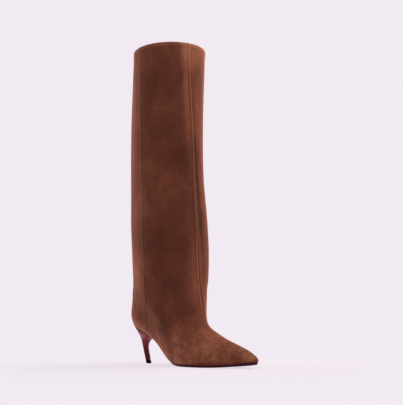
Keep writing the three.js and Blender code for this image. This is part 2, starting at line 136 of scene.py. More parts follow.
class BootRoom(bpy.types.PropertyGroup):
    """The studio: its camera and its lights."""

    lens: bpy.props.FloatProperty(
        name="Lens", description="Focal length on a 36 mm sensor, in millimetres", default=77.3)
    distance: bpy.props.FloatProperty(
        name="Distance", description="From the camera to the shaft's middle, over the floor",
        default=1.338, unit="LENGTH")
    azimuth: bpy.props.FloatProperty(
        name="Azimuth", description="The camera's bearing, from the outer side towards the toe",
        default=math.radians(46.5), subtype="ANGLE")
    tilt: bpy.props.FloatProperty(
        name="Tilt", description="How far the camera looks up",
        default=math.radians(7.69), subtype="ANGLE")
    height: bpy.props.FloatProperty(
        name="Height", description="The camera's height above the floor",
        default=0.0666, unit="LENGTH")
    sidestep: bpy.props.FloatProperty(
        name="Sidestep", description="How far right of the shaft the camera aims",
        default=0.0494, unit="LENGTH")
    ambient: bpy.props.FloatProperty(
        name="Ambient", description="Brightness of the pale room", default=0.5, min=0)
    left_light: bpy.props.FloatProperty(
        name="Left light", description="Power of the softbox behind on the left, in watts", default=20)
    right_light: bpy.props.FloatProperty(
        name="Right light", description="Power of the softbox behind on the right, in watts", default=22)
    top_light: bpy.props.FloatProperty(
        name="Top light", description="Power of the softbox overhead, in watts", default=14)
    front_light: bpy.props.FloatProperty(
        name="Front light", description="Power of the weak front softbox, in watts", default=4.4)


def sizes():
    return bpy.context.scene.boot_sizes


def colours():
    return bpy.context.scene.boot_colours


def room():
    return bpy.context.scene.boot_room


# Shader maths


class Term:
    """A value socket in a shader, with the usual operators."""

    def __init__(self, graph, socket):
        self.graph = graph
        self.socket = socket

    def maths(self, operation, *others, clamp=False):
        made = self.graph.node(
            "ShaderNodeMath", {"operation": operation, "use_clamp": clamp},
            dict(enumerate([self, *others])))
        return made[0]

    def __add__(self, other):
        return self.maths("ADD", other)

    def __sub__(self, other):
        return self.maths("SUBTRACT", other)

    def __rsub__(self, other):
        return self.graph.value(other).maths("SUBTRACT", self)

    def __mul__(self, other):
        return self.maths("MULTIPLY", other)

    def __abs__(self):
        return self.maths("ABSOLUTE")

    __radd__ = __add__

    def clamped(self):
        return self.maths("ADD", 0.0, clamp=True)

    def stepped(self, low, high):
        """0 below low and 1 above high, smooth between. low may be the larger."""
        start, end, turned = (low, high, False) if low < high else (high, low, True)
        made = self.graph.node(
            "ShaderNodeMapRange", {"interpolation_type": "SMOOTHSTEP"},
            {"Value": self, "From Min": start, "From Max": end})[0]
        return 1 - made if turned else made


class Graph:
    """The node tree of one material."""

    def __init__(self, name):
        self.material = bpy.data.materials.new(name)
        self.material.use_nodes = True
        self.tree = self.material.node_tree
        self.tree.nodes.clear()

    def node(self, kind, settings=None, inputs=None):
        """Adds a node, sets it up, feeds its sockets, and gives its outputs by place or name."""
        made = self.tree.nodes.new(kind)
        for key, setting in (settings or {}).items():
            if key == "stops":
                ramp = made.color_ramp.elements
                while len(ramp) < len(setting):
                    ramp.new(0.5)
                for element, (place, shade) in zip(ramp, setting):
                    element.position = place
                    element.color = (*shade, 1)
            else:
                setattr(made, key, setting)
        for key, given in (inputs or {}).items():
            if isinstance(given, Term):
                self.tree.links.new(given.socket, made.inputs[key])
            elif isinstance(given, (tuple, list)) or hasattr(given, "__len__"):
                wanted = len(made.inputs[key].default_value)
                made.inputs[key].default_value = [*given, 1.0][:wanted]
            else:
                made.inputs[key].default_value = given
        return Outputs(self, made)

    def value(self, number):
        made = self.tree.nodes.new("ShaderNodeValue")
        made.outputs[0].default_value = number
        return Term(self, made.outputs[0])

    def place(self):
        return self.node("ShaderNodeTexCoord")["Object"]

    def attribute(self, name):
        return self.node("ShaderNodeAttribute", {"attribute_name": name})["Fac"]

    def noise(self, scale, detail=2.0, roughness=0.5, stretch=(1, 1, 1), distortion=0.0):
        """Noise between 0 and 1 in the boot's own place. scale is in cells to the metre."""
        mapped = self.node(
            "ShaderNodeMapping", None, {"Vector": self.place(), "Scale": stretch})["Vector"]
        return self.node("ShaderNodeTexNoise", None, {
            "Vector": mapped, "Scale": scale, "Detail": detail,
            "Roughness": roughness, "Distortion": distortion})["Fac"]

    def blend(self, amount, first, second):
        return self.node("ShaderNodeMix", {"data_type": "RGBA"}, {0: amount, 6: first, 7: second})[2]

    def bump(self, height, distance, strength=1.0):
        return self.node("ShaderNodeBump", None, {
            "Height": height, "Distance": distance, "Strength": strength})["Normal"]

    def surface(self, **inputs):
        """Ends the material in one Principled shader. Socket names have _ for a space."""
        named = {key.replace("_", " "): given for key, given in inputs.items()}
        shader = self.node("ShaderNodeBsdfPrincipled", None, named)["BSDF"]
        self.node("ShaderNodeOutputMaterial", None, {"Surface": shader})
        return self.material


class Outputs:
    """The outputs of one node, by place or by name."""

    def __init__(self, graph, made):
        self.graph = graph
        self.made = made

    def __getitem__(self, key):
        return Term(self.graph, self.made.outputs[key])


# Materials


def brown_suede():
    """Brushed suede: soft blotches where the nap lies up or down, over a fine even nap."""
    c = colours()
    g = Graph("brown_suede")
    clouds = g.noise(13, detail=2.0, stretch=(1, 1, 0.6))
    blotch = g.noise(34, detail=2.0, roughness=0.5, stretch=(1, 1, 0.7), distortion=0.4)
    mottle = g.noise(110, detail=2.0, roughness=0.5, stretch=(1, 1, 0.8), distortion=0.3)
    swipe = g.noise(70, detail=3.0, roughness=0.6, stretch=(1, 1, 1.1), distortion=0.4)
    fleck = g.noise(170, detail=1.0, roughness=0.4, stretch=(1, 1, 0.8), distortion=0.3)
    nap = g.noise(900, detail=3.0, roughness=0.65, stretch=(1, 1, 0.6))
    pile = g.noise(2600, detail=2.0, roughness=0.7)
    foot = g.attribute("foot")
    brushed = g.attribute("brushed")

    # How far each point is from the seams, the collar and the sole, in millimetres.
    front = g.attribute("front_mm")
    side = g.attribute("side_mm")
    back = g.attribute("back_mm")
    collar = g.attribute("collar_mm")
    ground = g.attribute("edge_mm")

    # The nap's own pattern, from large clouds to the pile. The foot's is stronger. It lies over the
    # listed patches of brushed nap and of painted light and shade.
    tone = 0.5 + brushed + (clouds - 0.5) * 0.5 + (blotch - 0.5) * (0.6 + foot * 0.2)
    tone = tone + (mottle - 0.5) * 0.25 + (fleck - 0.5) * (0.12 + foot * 0.3)
    tone = tone + (nap - 0.5) * (0.28 + foot * 0.3) + (pile - 0.5) * 0.22
    brushes = swipe.stepped(0.44, 0.58) * 0.24

    # Painted highlight on the front seam's ridge and nap rubbed pale beside it; painted shade in the
    # grooves beside that seam and a painted shadow band on its inner side; darker side and back seams.
    ridge_highlight = abs(front + 0.2).stepped(1.4, 0.3) * (0.2 + collar.stepped(190, 90) * 0.17 + foot * 0.2)
    rubbed = abs(front + 7).stepped(10, 0) * (0.1 + collar.stepped(170, 60) * 0.2)
    groove = abs(front - 2.4).stepped(2.4, 0.4) * 0.14
    groove = groove + abs(front + 2.1).stepped(1.1, 0.2) * (0.05 + collar.stepped(130, 80) * 0.12)
    shadow = front.stepped(1, 2.4) * front.stepped(13, 5) * collar.stepped(60, 210) * 0.4
    side_line = abs(side).stepped(1.5, 0.2) * 0.14 - abs(side - 3.2).stepped(2.0, 0.5) * 0.05
    back_line = abs(back).stepped(1.2, 0.2) * 0.2 - abs(back - 2.2).stepped(1.4, 0.4) * 0.15
    tone = tone + ridge_highlight + rubbed - groove - shadow * (1 - foot) - side_line - back_line

    # The turned-over edge: a pale band, a painted highlight along its paler raw top edge, and a painted
    # shade line below the fold.
    lip_and_edge_highlight = collar.stepped(7, 5) * 0.26 + collar.stepped(2.4, 0.6) * 0.4
    fold_shade_line = abs(collar - sizes().collar_fold / MM).stepped(1.0, 0.2) * 0.12

    # A painted highlight along the vamp's crest beside the seam, and painted shade at the foot of the
    # wall by the sole.
    crest_highlight = abs(front - 4).stepped(12, 1) * 0.2
    sole_shade = ground.stepped(6, 0.5) * 0.24
    tone = tone + lip_and_edge_highlight - fold_shade_line + foot * (brushes + crest_highlight + 0.09) - sole_shade
    # The tone maps onto the suede's colours; the painted highlights and shade above shift it along them
    # too.
    shade = g.node("ShaderNodeValToRGB", {"stops": [
        (0.13, c.suede_dark), (0.4, c.suede_mid), (0.67, c.suede_light), (0.97, c.suede_rim)]},
        {"Fac": tone * 0.6 + 0.1})["Color"]
    relief = nap * 0.6 + pile * 0.5 + mottle * 0.5
    return g.surface(
        Base_Color=shade, Roughness=(0.98 - (blotch - 0.5) * 0.12).clamped(),
        Normal=g.bump(relief, 0.5 * MM, 0.5), Specular_IOR_Level=0.1,
        Sheen_Weight=0.5, Sheen_Roughness=0.4, Sheen_Tint=(1.0, 0.42, 0.27, 1))


def leather(name, shade, grain=0.12, roughness=0.5):
    """Smooth leather with fine grain."""
    g = Graph(name)
    pores = g.noise(1300, detail=2.0, roughness=0.6)
    wrinkle = g.noise(260, detail=3.0, distortion=0.7)
    tone = (0.5 + (pores - 0.5) * 0.35 + (wrinkle - 0.5) * 0.6).clamped()
    dark = [0.72 * channel for channel in shade]
    light = [min(1.25 * channel, 1) for channel in shade]
    return g.surface(
        Base_Color=g.blend(tone, dark, light), Roughness=(roughness + (pores - 0.5) * 0.2).clamped(),
        Normal=g.bump(pores * 0.5 + wrinkle, grain * MM), Specular_IOR_Level=0.35)


def plum_lacquer():
    """Glossy lacquer over the heel, with painted shade darkening it towards its tip."""
    c = colours()
    g = Graph("plum_lacquer")
    height = g.node("ShaderNodeSeparateXYZ", None, {"Vector": g.place()})["Z"]
    cloud = g.noise(120, detail=2.0)
    fine = g.noise(2200, detail=2.0)
    # Painted shade: the lacquer darkens from the seat down to the tip.
    down = (height.stepped(0.043, 0.006) + (cloud - 0.5) * 0.25).clamped()
    return g.surface(
        Base_Color=g.blend(down, c.lacquer, c.lacquer_shaded),
        Roughness=(0.24 + (cloud - 0.5) * 0.12 + (fine - 0.5) * 0.06).clamped(),
        Normal=g.bump(cloud * 0.3 + fine * 0.05, 0.12 * MM), Specular_IOR_Level=0.05)


def sole_leather():
    """Polished burgundy leather below, with a dark dyed edge."""
    c = colours()
    g = Graph("sole_leather")
    edge = g.attribute("side")
    fibres = g.noise(420, detail=3.0, stretch=(0.25, 1, 1))
    scuffs = g.noise(70, detail=3.0, roughness=0.6, stretch=(0.4, 1, 1), distortion=0.5)
    worn = g.blend((0.35 + (scuffs - 0.5) * 0.9).clamped(), c.sole, [0.55 * v for v in c.sole])
    return g.surface(
        Base_Color=g.blend(edge, worn, c.sole_edge),
        Roughness=(0.34 + (fibres - 0.5) * 0.2 + (scuffs - 0.5) * 0.2).clamped(),
        Normal=g.bump(fibres + scuffs * 0.4, 0.08 * MM), Specular_IOR_Level=0.03)


def lift_rubber():
    """Dark moulded rubber with faint scuffs."""
    c = colours()
    g = Graph("lift_rubber")
    grit = g.noise(1500, detail=3.0)
    return g.surface(
        Base_Color=g.blend(grit.stepped(0.4, 0.8), c.lift, [3 * v for v in c.lift]),
        Roughness=(0.6 + (grit - 0.5) * 0.3).clamped(), Normal=g.bump(grit, 0.08 * MM),
        Specular_IOR_Level=0.03)


def thread_cord():
    """Waxed sewing thread."""
    g = Graph("sewing_thread")
    twist = g.noise(3000, detail=1.0)
    shade = colours().thread
    return g.surface(
        Base_Color=g.blend(twist.stepped(0.3, 0.7), [0.7 * v for v in shade], shade), Roughness=0.7)


# Meshes


def select_only(piece):
    bpy.ops.object.select_all(action="DESELECT")
    piece.select_set(True)
    bpy.context.view_layer.objects.active = piece


def copy_of(node, name):
    """A merged copy of a solid's mesh."""
    piece = bpy.data.objects.new(name, NODES[node].data.copy())
    piece.data.name = name
    piece.data.materials.clear()
    bpy.context.scene.collection.objects.link(piece)
    select_only(piece)
    bpy.ops.object.mode_set(mode="EDIT")
    bpy.ops.mesh.select_all(action="SELECT")
    bpy.ops.mesh.remove_doubles(threshold=0.005 * MM)
    bpy.ops.mesh.customdata_custom_splitnormals_clear()
    bpy.ops.object.mode_set(mode="OBJECT")
    return piece


def apply_modifiers(piece):
    select_only(piece)
    for modifier in list(piece.modifiers):
        bpy.ops.object.modifier_apply(modifier=modifier.name)


def softened(piece, bevel, levels):
    """Rounds a rigid piece's sharp edges and smooths its facets, keeping its outline."""
    select_only(piece)
    bpy.ops.object.mode_set(mode="EDIT")
    bpy.ops.mesh.select_all(action="SELECT")
    bpy.ops.mesh.tris_convert_to_quads(face_threshold=math.radians(60), shape_threshold=math.pi)
    bpy.ops.object.mode_set(mode="OBJECT")
    edges = piece.modifiers.new("edges", "BEVEL")
    edges.width = bevel
    edges.segments = 3
    edges.limit_method = "ANGLE"
    edges.angle_limit = EDGE
    smooth = piece.modifiers.new("smooth", "SUBSURF")
    smooth.levels = levels
    smooth.render_levels = levels
    apply_modifiers(piece)
    bpy.ops.object.shade_smooth()


def write_attribute(piece, name, values):
    made = piece.data.attributes.new(name, "FLOAT", "POINT")
    made.data.foreach_set("value", np.asarray(values, dtype=np.float32))


def points_of(piece):
    co = np.empty(len(piece.data.vertices) * 3)
    piece.data.vertices.foreach_get("co", co)
    return co.reshape(-1, 3)


def normals_of(piece):
    normals = np.empty(len(piece.data.vertices) * 3)
    piece.data.vertices.foreach_get("normal", normals)
    return normals.reshape(-1, 3)


def move_points(piece, co):
    piece.data.vertices.foreach_set("co", co.ravel())


def smooth_share(x, low, high):
    """0 below low and 1 above high, smooth between. low may be the larger."""
    t = np.clip((x - low) / (high - low), 0, 1)
    return t * t * (3 - 2 * t)


# The upper

# Soft creases of the shaft. around: degrees from the front, towards the outer side. height:
# shares of the collar's height. width: share of the boot's length. depth: share of the deepest
# crease's depth, below 0 for a raised fold.
CREASES = [
    {"around": (-5, -8), "height": (0.68, 0.2), "width": 0.018, "depth": 1.0},
    {"around": (-24, -28), "height": (0.7, 0.24), "width": 0.03, "depth": -0.6},
    {"around": (118, 122), "height": (0.97, 0.66), "width": 0.02, "depth": -0.35},
    {"around": (124, 118), "height": (0.92, 0.55), "width": 0.03, "depth": 0.45},
    {"around": (112, 104), "height": (0.5, 0.3), "width": 0.035, "depth": 0.4},
    {"around": (128, 132), "height": (0.42, 0.16), "width": 0.025, "depth": 0.5},
    {"around": (30, 48), "height": (0.78, 0.5), "width": 0.05, "depth": 0.4},
    {"around": (70, 62), "height": (0.62, 0.3), "width": 0.05, "depth": 0.45},
    {"around": (84, 92), "height": (0.95, 0.72), "width": 0.045, "depth": -0.35},
    {"around": (22, 58), "height": (0.235, 0.175), "width": 0.035, "depth": 0.6},
    {"around": (40, 84), "height": (0.3, 0.245), "width": 0.04, "depth": 0.5},
    {"around": (-24, -52), "height": (0.24, 0.19), "width": 0.035, "depth": 0.6},
    {"around": (-40, -78), "height": (0.31, 0.25), "width": 0.04, "depth": 0.5},
    {"around": (-58, -50), "height": (0.9, 0.45), "width": 0.05, "depth": 0.45},
    {"around": (-118, -124), "height": (0.8, 0.35), "width": 0.045, "depth": 0.4},
    {"around": (172, 168), "height": (0.2, 0.3), "width": 0.04, "depth": 0.4},
    {"around": (150, 128), "height": (0.235, 0.27), "width": 0.03, "depth": 0.4},
    {"around": (-150, -128), "height": (0.235, 0.27), "width": 0.03, "depth": 0.4},
]

# Patches of the shaft where the suede is lighter or darker: partly brushed nap, partly painted
# light and shade of creases, rims and hollows. around: degrees from the front, towards the outer
# side. height: share of the collar's height. wide and tall: the patch's reach in the same two.
# tone: step of the suede's tone.
SHAFT_PATCHES = [
    {"around": 10, "height": 0.99, "wide": 15, "tall": 0.02, "tone": 0.5},
    {"around": 6, "height": 0.955, "wide": 15, "tall": 0.03, "tone": 0.52},
    {"around": -16, "height": 0.985, "wide": 9, "tall": 0.02, "tone": 0.35},
    {"around": 44, "height": 0.99, "wide": 20, "tall": 0.03, "tone": 0.16},
    {"around": 60, "height": 0.885, "wide": 40, "tall": 0.04, "tone": -0.22},
    {"around": -9, "height": 0.915, "wide": 8, "tall": 0.03, "tone": -0.2},
    {"around": 20, "height": 0.915, "wide": 6, "tall": 0.03, "tone": -0.16},
    {"around": 14, "height": 0.86, "wide": 7, "tall": 0.05, "tone": 0.2},
    {"around": -10, "height": 0.8, "wide": 7, "tall": 0.035, "tone": 0.22},
    {"around": 90, "height": 0.8, "wide": 16, "tall": 0.12, "tone": -0.2},
    {"around": 121, "height": 0.84, "wide": 11, "tall": 0.08, "tone": 0.32},
    {"around": -25, "height": 0.82, "wide": 14, "tall": 0.13, "tone": -0.4},
    {"around": 49, "height": 0.79, "wide": 33, "tall": 0.03, "tone": 0.05},
    {"around": 18, "height": 0.75, "wide": 8, "tall": 0.04, "tone": 0.13},
    {"around": 65, "height": 0.71, "wide": 29, "tall": 0.03, "tone": -0.07},
    {"around": 47, "height": 0.655, "wide": 14, "tall": 0.03, "tone": 0.1},
    {"around": 20, "height": 0.63, "wide": 40, "tall": 0.05, "tone": -0.2},
    {"around": 16, "height": 0.6, "wide": 18, "tall": 0.045, "tone": -0.14},
    {"around": 52, "height": 0.56, "wide": 33, "tall": 0.05, "tone": 0.12},
    {"around": 8, "height": 0.5, "wide": 11, "tall": 0.09, "tone": -0.26},
    {"around": -9, "height": 0.46, "wide": 12, "tall": 0.09, "tone": -0.24},
    {"around": 50, "height": 0.43, "wide": 22, "tall": 0.05, "tone": 0.08},
    {"around": 62, "height": 0.375, "wide": 30, "tall": 0.07, "tone": -0.1},
    {"around": 0, "height": 0.32, "wide": 22, "tall": 0.08, "tone": 0.12},
    {"around": 110, "height": 0.265, "wide": 12, "tall": 0.05, "tone": 0.5},
    {"around": 52, "height": 0.237, "wide": 25, "tall": 0.03, "tone": -0.08},
    {"around": -24, "height": 0.32, "wide": 14, "tall": 0.07, "tone": -0.24},
    {"around": -28, "height": 0.235, "wide": 14, "tall": 0.08, "tone": -0.4},
    {"around": 16, "height": 0.235, "wide": 10, "tall": 0.04, "tone": 0.12},
    {"around": 2, "height": 0.215, "wide": 14, "tall": 0.05, "tone": 0.14},
    {"around": 88, "height": 0.2, "wide": 16, "tall": 0.05, "tone": -0.2},
    {"around": 62, "height": 0.14, "wide": 14, "tall": 0.025, "tone": -0.12},
    {"around": -87, "height": 0.72, "wide": 30, "tall": 0.05, "tone": -0.12},
    {"around": -70, "height": 0.5, "wide": 34, "tall": 0.05, "tone": 0.1},
    {"around": -92, "height": 0.34, "wide": 27, "tall": 0.06, "tone": -0.1},
]

# The same on the foot, brushed nap mixed with painted light and shade. along: share of the boot's
# length from the heel. side: -1 on the outer side, 1 on the inner side.
FOOT_PATCHES = [
    {"along": 0.41, "height": 0.1, "wide": 0.055, "tall": 0.035, "side": -1, "tone": -0.42},
    {"along": 0.3, "height": 0.1, "wide": 0.04, "tall": 0.03, "side": -1, "tone": -0.1},
    {"along": 0.49, "height": 0.1, "wide": 0.05, "tall": 0.03, "side": -1, "tone": 0.1},
    {"along": 0.57, "height": 0.13, "wide": 0.06, "tall": 0.02, "side": -1, "tone": 0.17},
    {"along": 0.546, "height": 0.062, "wide": 0.045, "tall": 0.02, "side": -1, "tone": -0.22},
    {"along": 0.735, "height": 0.055, "wide": 0.05, "tall": 0.02, "side": -1, "tone": 0.32},
    {"along": 0.9, "height": 0.046, "wide": 0.03, "tall": 0.012, "side": -1, "tone": -0.12},
    {"along": 0.89, "height": 0.028, "wide": 0.04, "tall": 0.012, "side": -1, "tone": -0.2},
    {"along": 0.98, "height": 0.036, "wide": 0.035, "tall": 0.02, "side": -1, "tone": 0.3},
    {"along": 0.46, "height": 0.03, "wide": 0.05, "tall": 0.02, "side": -1, "tone": -0.15},
    {"along": 0.5, "height": 0.13, "wide": 0.08, "tall": 0.04, "side": 1, "tone": 0.1},
    {"along": 0.36, "height": 0.12, "wide": 0.05, "tall": 0.04, "side": 1, "tone": -0.16},
    {"along": 0.7, "height": 0.06, "wide": 0.06, "tall": 0.02, "side": 1, "tone": 0.2},
    {"along": 0.96, "height": 0.036, "wide": 0.03, "tall": 0.02, "side": 1, "tone": 0.3},
]

# Grooves pressed beside the seams' ridges. middle and reach: millimetres from the seam. depth:
# share of the groove's depth.
FRONT_GROOVE = {"middle": 2.6, "reach": 1.3, "depth": 1.0}
SIDE_GROOVE = {"middle": 1.6, "reach": 1.1, "depth": 0.4}
BACK_GROOVE = {"middle": 2.2, "reach": 1.0, "depth": 0.7}

# Shares of the collar's height over which the foot turns into the shaft, for three uses.
CREASES_BEGIN = (0.12, 0.17)
PATCHES_BEGIN = (0.1, 0.14)
FOOT_ENDS = (0.07, 0.17)

SIDE_BLEND = 6 * MM  # reach over which one side's patches fade into the other's
COLLAR_CREASE = 0.35  # how sharp the smoothed wall stays at the collar, from 0 to 1
SOLE_CREASE = 0.85  # the same, at the sole


def join_grid(mesh):
    """Joins the triangles of a wall that is one grid of rings and columns in pairs.

    Around each triangle its edge along a ring, its edge up a column and its diagonal come in the
    same order, so all of them follow from one edge at the collar. The diagonals are dissolved,
    and the rings where the wall folds sharply are marked.
    """
    sharp = [edge for edge in mesh.edges if edge.calc_face_angle(0) > SHARP]
    ring_edge = max(sharp, key=lambda edge: min(corner.co.z for corner in edge.verts))
    first = ring_edge.link_faces[0]
    loops = list(first.loops)
    start = [loop.edge for loop in loops].index(ring_edge)
    after, before = (loops[(start + step) % 3].edge.calc_length() for step in (1, 2))
    turn = 1 if after < before else -1
    kinds = {ring_edge: 0}
    seen, open_faces = {first}, [first]
    while open_faces:
        face = open_faces.pop()
        edges = [loop.edge for loop in face.loops]
        known = next(i for i, edge in enumerate(edges) if edge in kinds)
        for step in range(3):
            edge = edges[(known + turn * step) % 3]
            kinds[edge] = (kinds[edges[known]] + step) % 3
            fresh = [near for near in edge.link_faces if near not in seen]
            seen.update(fresh)
            open_faces.extend(fresh)
    for edge, kind in kinds.items():
        edge.seam = kind == 0 and edge.calc_face_angle(0) > SHARP
    diagonals = [edge for edge, kind in kinds.items() if kind == 2]
    bmesh.ops.dissolve_edges(mesh, edges=diagonals, use_verts=False)


def wall_regions(mesh):
    """The mesh's faces, grouped between the marked folds, the largest group first."""
    seen = set()
    regions = []
    for face in mesh.faces:
        if face in seen:
            continue
        region, open_faces = [], [face]
        seen.add(face)
        while open_faces:
            current = open_faces.pop()
            region.append(current)
            for edge in current.edges:
                fresh = [] if edge.seam else [near for near in edge.link_faces if near not in seen]
                seen.update(fresh)
                open_faces.extend(fresh)
        regions.append(region)
    return sorted(regions, key=lambda region: sum(face.calc_area() for face in region), reverse=True)


def near_collar(vertex):
    return vertex.co.z > COLLAR - 3 * sizes().collar_fold


def collar_ring(outer):
    """The corners along the outer wall's top edge, each with its two edges there."""
    edges = dict.fromkeys(edge for face in outer for edge in face.edges if edge.seam)
    high = [edge for edge in edges if near_collar(edge.verts[0])]
    return {corner: [edge for edge in corner.link_edges if edge in edges]
            for edge in high for corner in edge.verts}


def seam_tops(ring):
    """Where the back, side and front seams meet the collar: their corners lie closest together."""
    spread = {corner: sum(edge.calc_length() for edge in edges) for corner, edges in ring.items()}
    closest = sorted(spread, key=spread.get)[:3]
    return sorted(closest, key=lambda corner: corner.co.x)


def seam_path(top):
    """Points down a seam's ridge, edge after edge of its column, from the collar to the sole."""
    edge = min(top.link_edges, key=lambda near: near.other_vert(top).co.z)
    points = [top.co.copy()]
    corner = top
    while True:
        corner = edge.other_vert(corner)
        points.append(corner.co.copy())
        if any(near.seam for near in corner.link_edges):
            return points
        beside = set(edge.link_faces)
        edge = next(near for near in corner.link_edges if not beside & set(near.link_faces))


def signed_from_path(co, path, axis):
    """Each point's distance from the path in millimetres, below 0 on the axis's lower side."""
    path = np.array(path)
    best = np.full(len(co), np.inf)
    side = np.ones(len(co))
    for start, end in zip(path[:-1], path[1:]):
        along = end - start
        t = np.clip(((co - start) @ along) / (along @ along), 0, 1)
        near = start + t[:, None] * along
        distance = np.linalg.norm(co - near, axis=1) / MM
        closer = distance < best
        best[closer] = distance[closer]
        side[closer] = np.where(co[closer, axis] > near[closer, axis], 1, -1)
    return best * side


def turned_from(co, bearing):
    """How far each point lies around the shaft from a bearing, in degrees from -180 to 180."""
    around = np.degrees(np.arctan2(-co[:, 1], co[:, 0] - SHAFT_X))
    return (around - bearing + 180) % 360 - 180


def crease_push(co):
    """How far each point of the shaft goes in, in metres."""
    scale = np.array([math.radians(1) * SHAFT_RADIUS, COLLAR])
    push = np.zeros(len(co))
    for crease in CREASES:
        start, end = (np.array(pair) for pair in zip(crease["around"], crease["height"]))
        turn = turned_from(co, start[0])
        flat = np.stack([turn * scale[0], co[:, 2] - start[1] * COLLAR], axis=1)
        along = (end - start) * scale
        inside = np.clip((flat @ along) / (along @ along), 0, 1)
        gap = np.linalg.norm(flat - inside[:, None] * along, axis=1)
        taper = np.sqrt(np.clip(4 * inside * (1 - inside), 0, 1))
        push += crease["depth"] * taper * np.exp(-((gap / (crease["width"] * LENGTH)) ** 2))
    low = smooth_share(co[:, 2] / COLLAR, *CREASES_BEGIN)
    high = smooth_share(co[:, 2], COLLAR - sizes().collar_fold, COLLAR - 3 * sizes().collar_fold)
    return push * low * high * sizes().crease_depth


def nap_and_painted_light_tone(co):
    """Lighter or darker patches of brushed nap and of painted light and shade, as steps of the suede's
    tone.
    """
    along = (co[:, 0] - HEEL_BACK) / LENGTH
    height = co[:, 2] / COLLAR
    tone = np.zeros(len(co))
    for patch in SHAFT_PATCHES:
        turn = turned_from(co, patch["around"])
        rise = height - patch["height"]
        tone += patch["tone"] * np.exp(-((turn / patch["wide"]) ** 2) - (rise / patch["tall"]) ** 2)
    tone *= smooth_share(height, *PATCHES_BEGIN)
    for patch in FOOT_PATCHES:
        reach = (along - patch["along"]) / patch["wide"]
        rise = (height - patch["height"]) / patch["tall"]
        near_side = smooth_share(co[:, 1] * patch["side"], -SIDE_BLEND, SIDE_BLEND)
        tone += patch["tone"] * np.exp(-(reach**2) - rise**2) * near_side
    return tone


def groove_push(distance, groove):
    """How deep a groove is at each distance from its seam, as a share of the groove's depth."""
    return groove["depth"] * np.exp(-(((distance - groove["middle"]) / groove["reach"]) ** 2))


def make_upper():
    """The suede upper with its lining: one closed wall, with the listed creases."""
    piece = copy_of("upper", "suede_upper")
    mesh = bmesh.new()
    mesh.from_mesh(piece.data)
    join_grid(mesh)
    outer, *rest = wall_regions(mesh)
    for region in rest:
        low = min(v.co.z for face in region for v in face.verts)
        for face in region:
            face.material_index = 0 if low > COLLAR - sizes().collar_fold else 1
    crease = mesh.edges.layers.float.new("crease_edge")
    for edge in mesh.edges:
        if edge.seam:
            edge[crease] = COLLAR_CREASE if near_collar(edge.verts[0]) else SOLE_CREASE
    ring = collar_ring(outer)
    rise, base = np.polyfit([v.co.x for v in ring], [v.co.z for v in ring], 1)
    back, side, front = (seam_path(top) for top in seam_tops(ring))
    mesh.to_mesh(piece.data)
    mesh.free()

    smooth = piece.modifiers.new("smooth", "SUBSURF")
    smooth.levels = 2
    smooth.render_levels = 2
    apply_modifiers(piece)
    bpy.ops.object.shade_smooth()

    co = points_of(piece)
    front_mm = signed_from_path(co, front, 1)
    side_mm = signed_from_path(co, side, 0)
    back_mm = signed_from_path(co, back, 1)
    collar_mm = (base + rise * co[:, 0] - co[:, 2]) / MM
    suede = np.zeros(len(co), dtype=bool)
    for face in piece.data.polygons:
        if face.material_index == 0:
            suede[list(face.vertices)] = True
    groove = groove_push(front_mm, FRONT_GROOVE) + groove_push(side_mm, SIDE_GROOVE)
    groove += groove_push(np.abs(back_mm), BACK_GROOVE)
    push = crease_push(co) + np.where(suede, sizes().groove_depth * groove, 0)
    inward = np.where(suede, -1.0, 1.0)
    co += normals_of(piece) * (inward * push)[:, None]
    move_points(piece, co)

    write_attribute(piece, "front_mm", front_mm)
    write_attribute(piece, "side_mm", side_mm)
    write_attribute(piece, "back_mm", back_mm)
    write_attribute(piece, "collar_mm", collar_mm)
    write_attribute(piece, "foot", 1 - smooth_share(co[:, 2] / COLLAR, *FOOT_ENDS))
    write_attribute(piece, "edge_mm", height_above_sole(co))
    write_attribute(piece, "brushed", nap_and_painted_light_tone(co))
    piece.data.materials.append(brown_suede())
    piece.data.materials.append(leather("lining_leather", colours().lining))
    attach(piece, "root")
    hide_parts("upper")
    return piece


def height_above_sole(co):
    """How far each point is above the outsole's top face, in millimetres."""
    step = 2 * MM
    top = {}
    for vertex in NODES["outsole"].data.vertices:
        key = round(vertex.co.x / step)
        top[key] = max(top.get(key, 0), vertex.co.z)
    x = np.array(sorted(top)) * step
    z = np.array([top[key] for key in sorted(top)])
    return (co[:, 2] - np.interp(co[:, 0], x, z)) / MM


def unit_ball(rings, columns):
    """The corners and faces of a ball 1 across, from its top pole down, in a fixed order."""
    corners = [(0, 0, 0.5)]
    for ring in range(1, rings):
        down = math.pi * ring / rings
        reach, height = 0.5 * math.sin(down), 0.5 * math.cos(down)
        for column in range(columns):
            turn = 2 * math.pi * column / columns
            corners.append((reach * math.cos(turn), reach * math.sin(turn), height))
    corners.append((0, 0, -0.5))
    bottom = len(corners) - 1
    faces = []
    for column in range(columns):
        left, right = 1 + column, 1 + (column + 1) % columns
        faces.append((0, left, right))
        for _ in range(rings - 2):
            faces.append((left, left + columns, right + columns, right))
            left, right = left + columns, right + columns
        faces.append((bottom, right, left))
    return corners, faces


